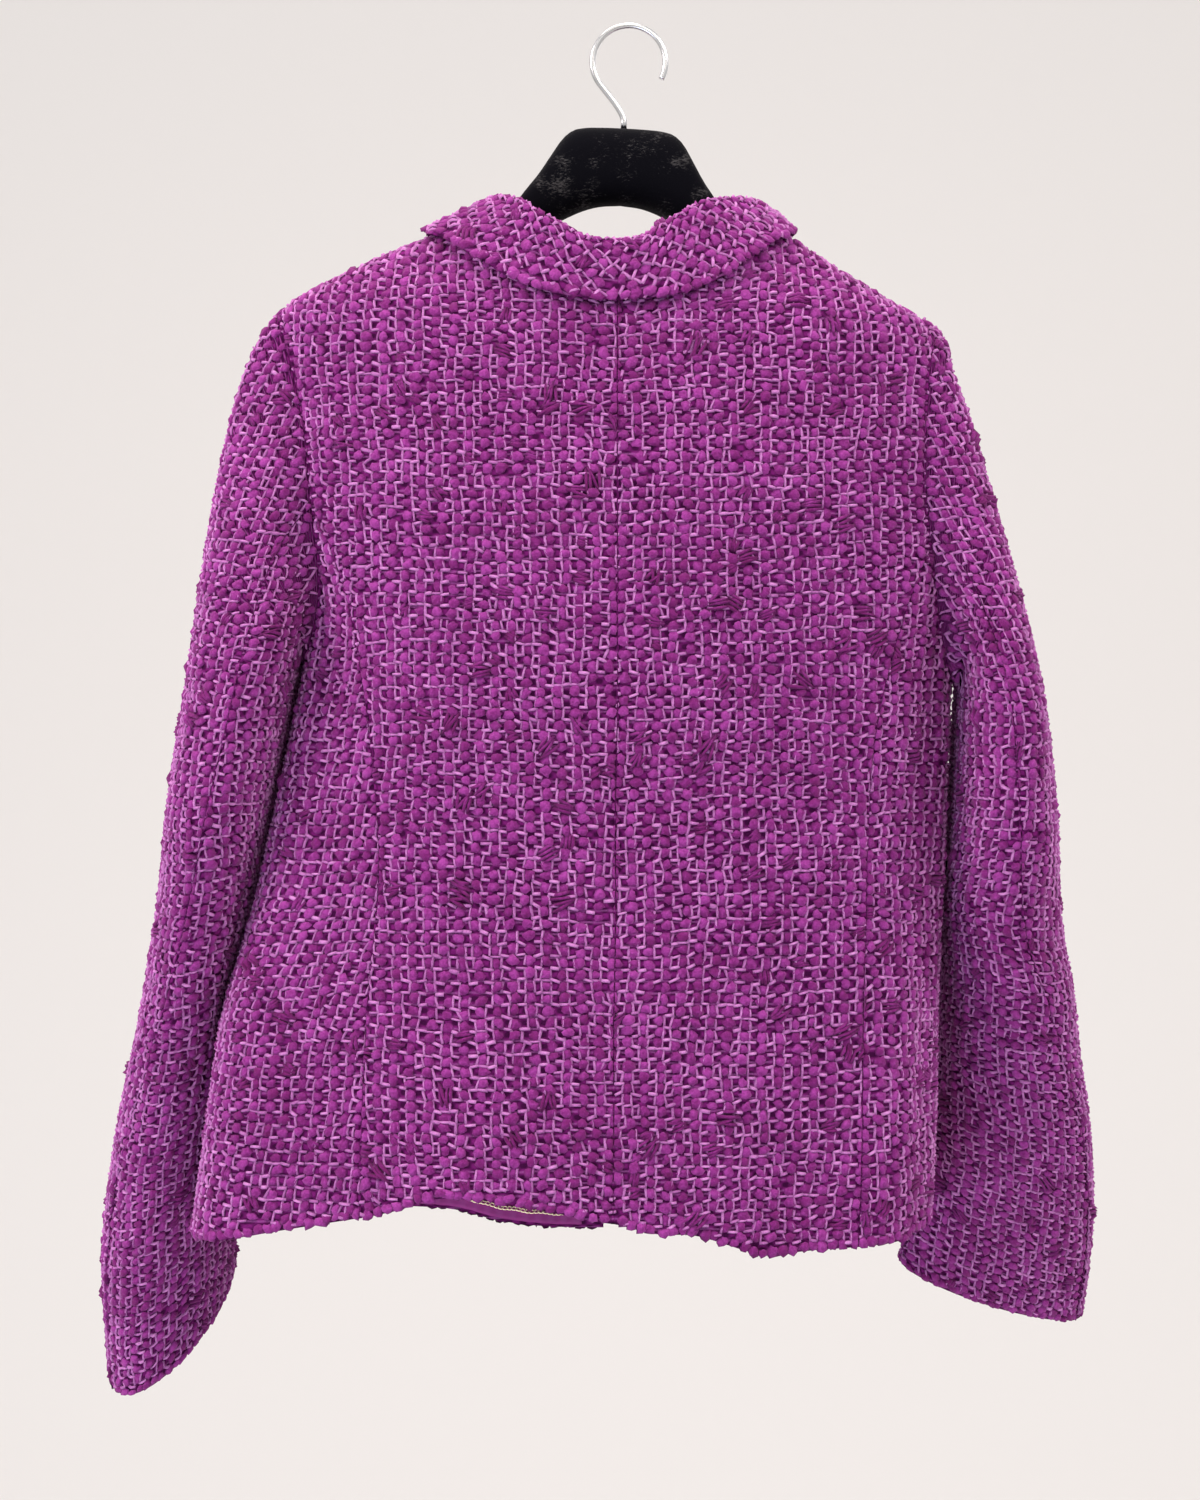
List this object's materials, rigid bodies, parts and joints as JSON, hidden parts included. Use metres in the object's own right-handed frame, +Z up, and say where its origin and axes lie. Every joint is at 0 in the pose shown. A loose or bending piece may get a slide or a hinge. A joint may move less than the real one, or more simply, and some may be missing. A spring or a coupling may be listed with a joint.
{
  "type": "cropped tweed jacket on a broad flocked hanger",
  "caption": "Cropped boxy tweed jacket with a fold-over collar and long two-piece sleeves, hanging on a broad flocked hanger with a wire hook.",
  "frame": {"origin": "where the hook's crook rests on a rail, on the inside of the top of its bend", "axes": "+Z up, the wearer would face -Y, +X the wearer's left"},
  "size_m": [0.5982, 0.2311, 0.799],
  "materials": {
    "tweed": "coarse open boucle tweed of magenta slub and paler lilac yarn, matte",
    "satin": "plain purple satin lining, soft sheen",
    "gold": "pale gold plated curb chain",
    "flock": "black flock with a few grey fibres of lint",
    "hook_steel": "bright bent wire"
  },
  "bodies": {
    "root": {"back_left": "tweed", "back_right": "tweed", "side_left": "tweed", "side_right": "tweed", "front_left": "tweed", "front_right": "tweed", "upper_sleeve_left": "tweed", "upper_sleeve_right": "tweed", "under_sleeve_left": "tweed", "under_sleeve_right": "tweed", "collar": "tweed", "hem_band_left": "satin", "hem_band_right": "satin", "hem_chain_left": "gold", "hem_chain_right": "gold", "hanger": "flock", "hook": "hook_steel"}
  },
  "joints": []
}
